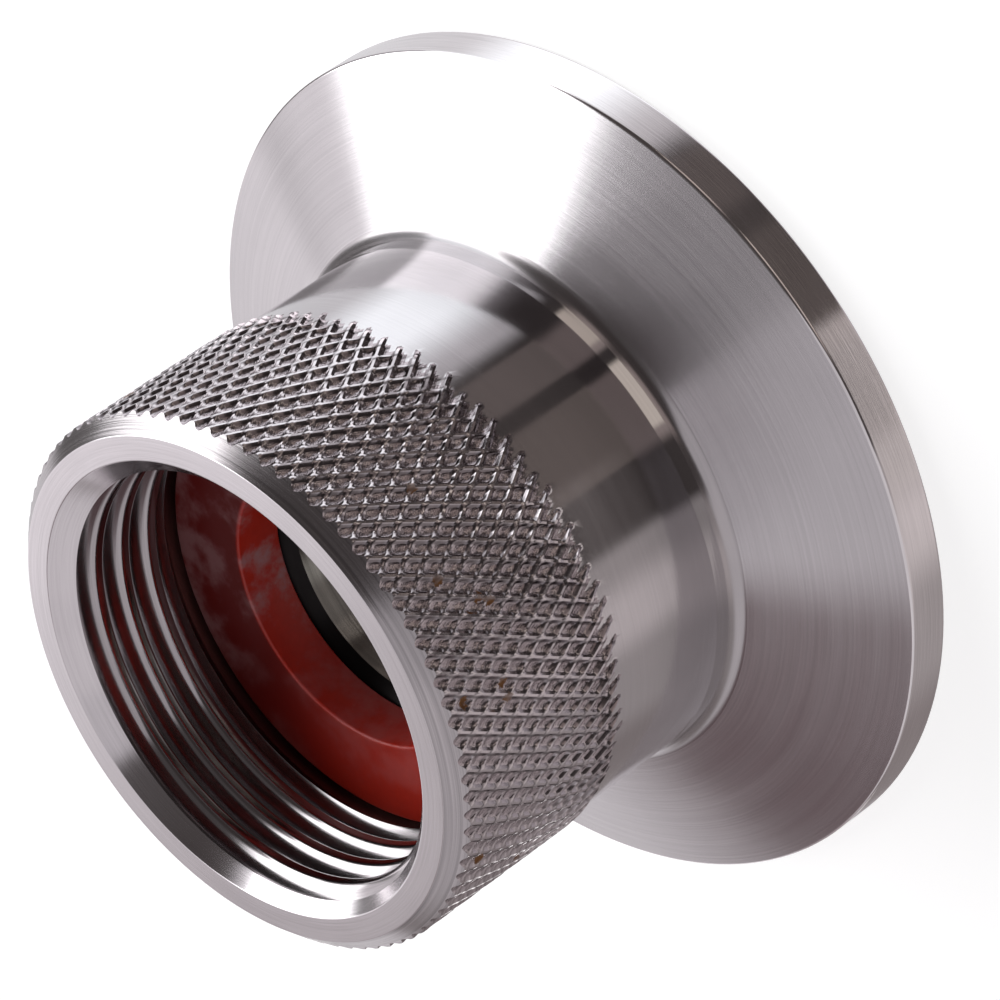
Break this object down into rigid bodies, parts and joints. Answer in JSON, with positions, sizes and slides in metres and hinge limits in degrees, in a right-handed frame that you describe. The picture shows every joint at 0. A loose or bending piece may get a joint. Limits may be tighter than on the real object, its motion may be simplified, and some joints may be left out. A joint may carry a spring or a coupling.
{
  "type": "sanitary clamp female hose thread adapter",
  "caption": "Turned steel adapter: a sanitary clamp flange, a plain neck and a knurled collar that holds an internal hose thread and a flat rubber washer.",
  "frame": {"origin": "centre of the flange's flat sealing face, on which the part stands", "axes": "+Z along the bore axis from the clamp flange towards the hose end; X and Y are any two directions across it, because the part is turned"},
  "size_m": [0.0506, 0.0506, 0.0286],
  "materials": {
    "turned_steel": "turned and polished, with fine circumferential tool marks",
    "red_rubber": "satin"
  },
  "bodies": {
    "root": {"fitting_body": "turned_steel", "hose_washer": "red_rubber"}
  },
  "joints": []
}
